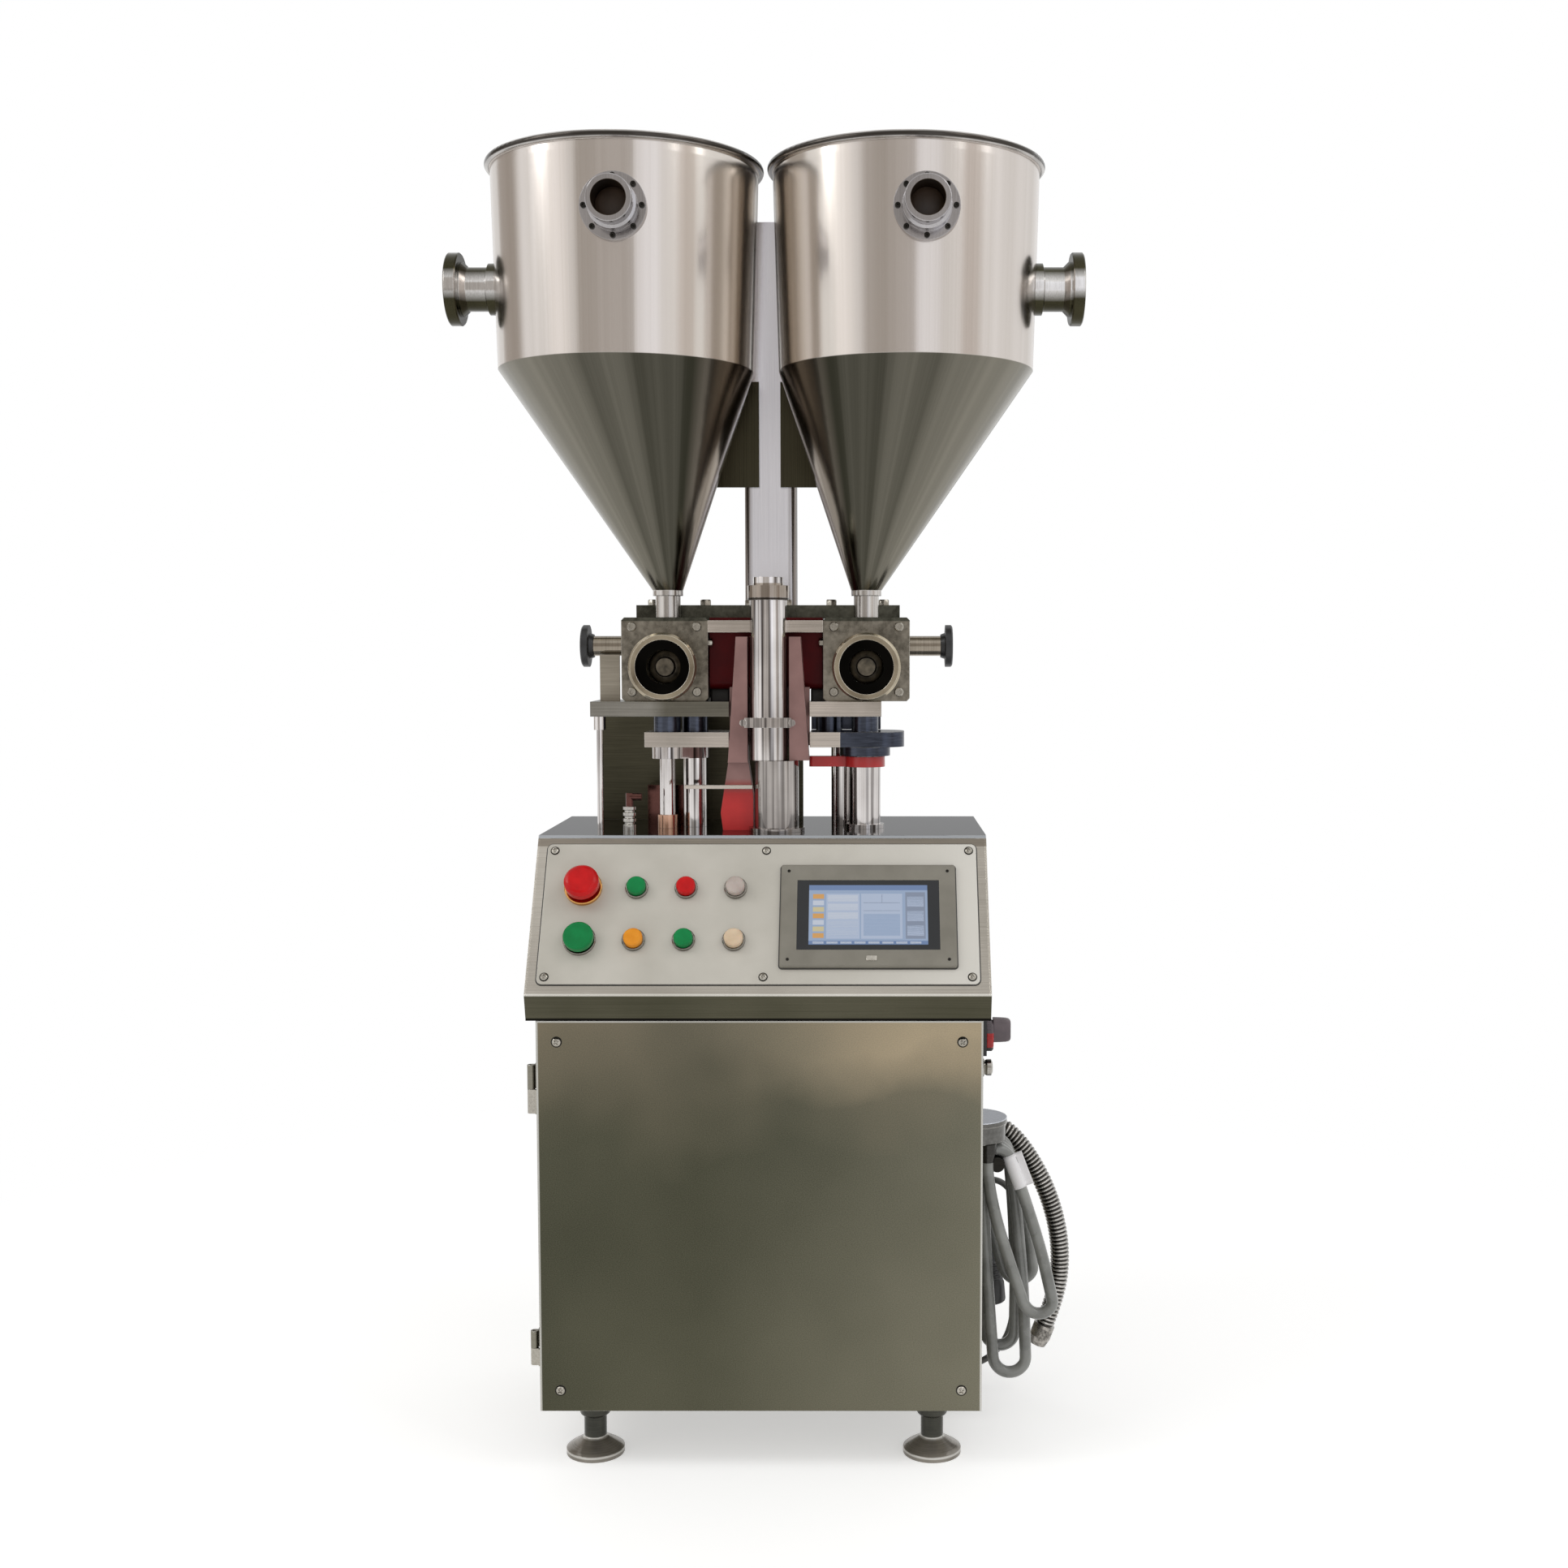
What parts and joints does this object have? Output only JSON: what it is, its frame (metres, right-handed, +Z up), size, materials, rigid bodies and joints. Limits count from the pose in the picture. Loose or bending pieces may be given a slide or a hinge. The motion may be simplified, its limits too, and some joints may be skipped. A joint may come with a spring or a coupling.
{
  "type": "piston filling machine",
  "caption": "Console-cabinet piston filler: twin conical hoppers over rotary valve blocks with front outlets, sloped control panel with push buttons and touch screen.",
  "frame": {"origin": "on the floor, under the middle of the machine's bounding box without its loose cables", "axes": "+X to the operator's right, +Y towards the back, +Z up"},
  "size_m": [0.85, 0.448, 1.695],
  "materials": {
    "stainless_sheet": "brushed stainless sheet",
    "panel_plate": "fine satin plate",
    "hopper_steel": "brushed and polished stainless",
    "machined_steel": "turned and ground steel",
    "bright_chrome": "polished",
    "dark_block": "dark bronze grey",
    "red_brown_paint": "satin",
    "bright_red_paint": "gloss",
    "maroon_paint": "satin",
    "dark_sheet": "satin",
    "bronze": "worn bronze",
    "aluminium_tube": "anodised",
    "conduit_metal": "ribbed metal",
    "black_plastic": "moulded",
    "grey_plastic": "moulded",
    "gear_plastic": "moulded",
    "switch_grip": "moulded",
    "screen_glass": "smooth",
    "collar_metal": "moulded",
    "red_cap": "moulded",
    "green_cap": "moulded",
    "amber_cap": "moulded",
    "clear_cap": "moulded",
    "cream_cap": "moulded",
    "seal_rubber": "smooth",
    "grey_cable": "smooth sheath",
    "dark_cable": "smooth sheath"
  },
  "bodies": {
    "machine": {"levelling_feet": "machined_steel", "cabinet_panels": "stainless_sheet", "inner_frame": "stainless_sheet", "front_panel": "stainless_sheet", "cover_screws": "bright_chrome", "door_hinges": "bright_chrome", "console_housing": "stainless_sheet", "table_top": "stainless_sheet", "control_panel": "panel_plate", "hmi_bezel": "grey_plastic", "hmi_screen": "screen_glass", "contact_blocks": "black_plastic", "button_collars": "collar_metal", "mains_switch_base": "black_plastic", "wall_fittings": "bright_chrome", "cable_entry_box": "machined_steel", "cable_hanger": "machined_steel", "control_gear": "gear_plastic", "hopper_left": "hopper_steel", "hopper_right": "hopper_steel", "hopper_ports": "machined_steel", "machine_bolts": "bright_chrome", "hopper_post": "stainless_sheet", "hopper_brackets": "stainless_sheet", "valve_blocks": "dark_block", "outlet_flanges": "machined_steel", "top_bridge": "dark_block", "rotary_actuator": "maroon_paint", "product_cylinders": "machined_steel", "air_cylinders": "aluminium_tube", "centre_column": "machined_steel", "red_bracket": "red_brown_paint", "support_plates": "machined_steel", "pillars": "bright_chrome", "bronze_bush": "bronze", "spacer_rings": "dark_block", "rear_guard": "dark_sheet", "air_fitting": "machined_steel", "power_cable": "grey_cable", "power_plug": "black_plastic", "thin_cable": "dark_cable", "conduit": "conduit_metal", "conduit_end": "black_plastic"},
    "left_door": {"left_door": "stainless_sheet"},
    "door_latch": {"door_latch": "black_plastic"},
    "mains_switch": {"mains_switch_grip": "switch_grip"},
    "valve_shaft": {"valve_rotors": "machined_steel", "valve_knobs": "black_plastic"},
    "crosshead": {"pistons": "machined_steel", "piston_seals": "seal_rubber", "crosshead": "machined_steel"},
    "dose_lever": {"dose_lever": "bright_red_paint"},
    "emergency_stop": {"emergency_stop": "red_cap"},
    "start_button": {"start_button": "green_cap"},
    "green_button": {"green_button": "green_cap"},
    "red_button": {"red_button": "red_cap"},
    "clear_button": {"clear_button": "clear_cap"},
    "amber_button": {"amber_button": "amber_cap"},
    "lower_green_button": {"lower_green_button": "green_cap"},
    "cream_button": {"cream_button": "cream_cap"}
  },
  "joints": [
    {"name": "emergency_stop_press", "type": "slide", "parent": "machine", "child": "emergency_stop", "axis": [0, 0.8416, -0.5401], "range_m": [0, 0.004], "stiffness_N_per_m": 400},
    {"name": "start_button_press", "type": "slide", "parent": "machine", "child": "start_button", "axis": [0, 0.8416, -0.5401], "range_m": [0, 0.0035], "stiffness_N_per_m": 400},
    {"name": "green_button_press", "type": "slide", "parent": "machine", "child": "green_button", "axis": [0, 0.8416, -0.5401], "range_m": [0, 0.004], "stiffness_N_per_m": 400},
    {"name": "red_button_press", "type": "slide", "parent": "machine", "child": "red_button", "axis": [0, 0.8416, -0.5401], "range_m": [0, 0.004], "stiffness_N_per_m": 400},
    {"name": "clear_button_press", "type": "slide", "parent": "machine", "child": "clear_button", "axis": [0, 0.8416, -0.5401], "range_m": [0, 0.004], "stiffness_N_per_m": 400},
    {"name": "amber_button_press", "type": "slide", "parent": "machine", "child": "amber_button", "axis": [0, 0.8416, -0.5401], "range_m": [0, 0.004], "stiffness_N_per_m": 400},
    {"name": "lower_green_button_press", "type": "slide", "parent": "machine", "child": "lower_green_button", "axis": [0, 0.8416, -0.5401], "range_m": [0, 0.004], "stiffness_N_per_m": 400},
    {"name": "cream_button_press", "type": "slide", "parent": "machine", "child": "cream_button", "axis": [0, 0.8416, -0.5401], "range_m": [0, 0.004], "stiffness_N_per_m": 400},
    {"name": "left_door_swing", "type": "hinge", "parent": "machine", "child": "left_door", "pos_m": [-0.29, -0.18, 0.33], "axis": [0, 0, 1], "range_deg": [0, 110]},
    {"name": "door_latch_turn", "type": "hinge", "parent": "left_door", "child": "door_latch", "pos_m": [-0.284, 0.125, 0.33], "axis": [-1, 0, 0], "range_deg": [0, 90]},
    {"name": "mains_switch_turn", "type": "hinge", "parent": "machine", "child": "mains_switch", "pos_m": [0.291, -0.1, 0.548], "axis": [1, 0, 0], "range_deg": [0, 90]},
    {"name": "valve_shaft_turn", "type": "hinge", "parent": "machine", "child": "valve_shaft", "pos_m": [0, 0.0385, 1.056], "axis": [1, 0, 0], "range_deg": [0, 90]},
    {"name": "crosshead_stroke", "type": "slide", "parent": "machine", "child": "crosshead", "axis": [0, 1, 0], "range_m": [0, 0.07]},
    {"name": "dose_lever_turn", "type": "hinge", "parent": "machine", "child": "dose_lever", "pos_m": [0.133, 0, 0.901], "axis": [0, 0, 1], "range_deg": [-20, 40]}
  ]
}
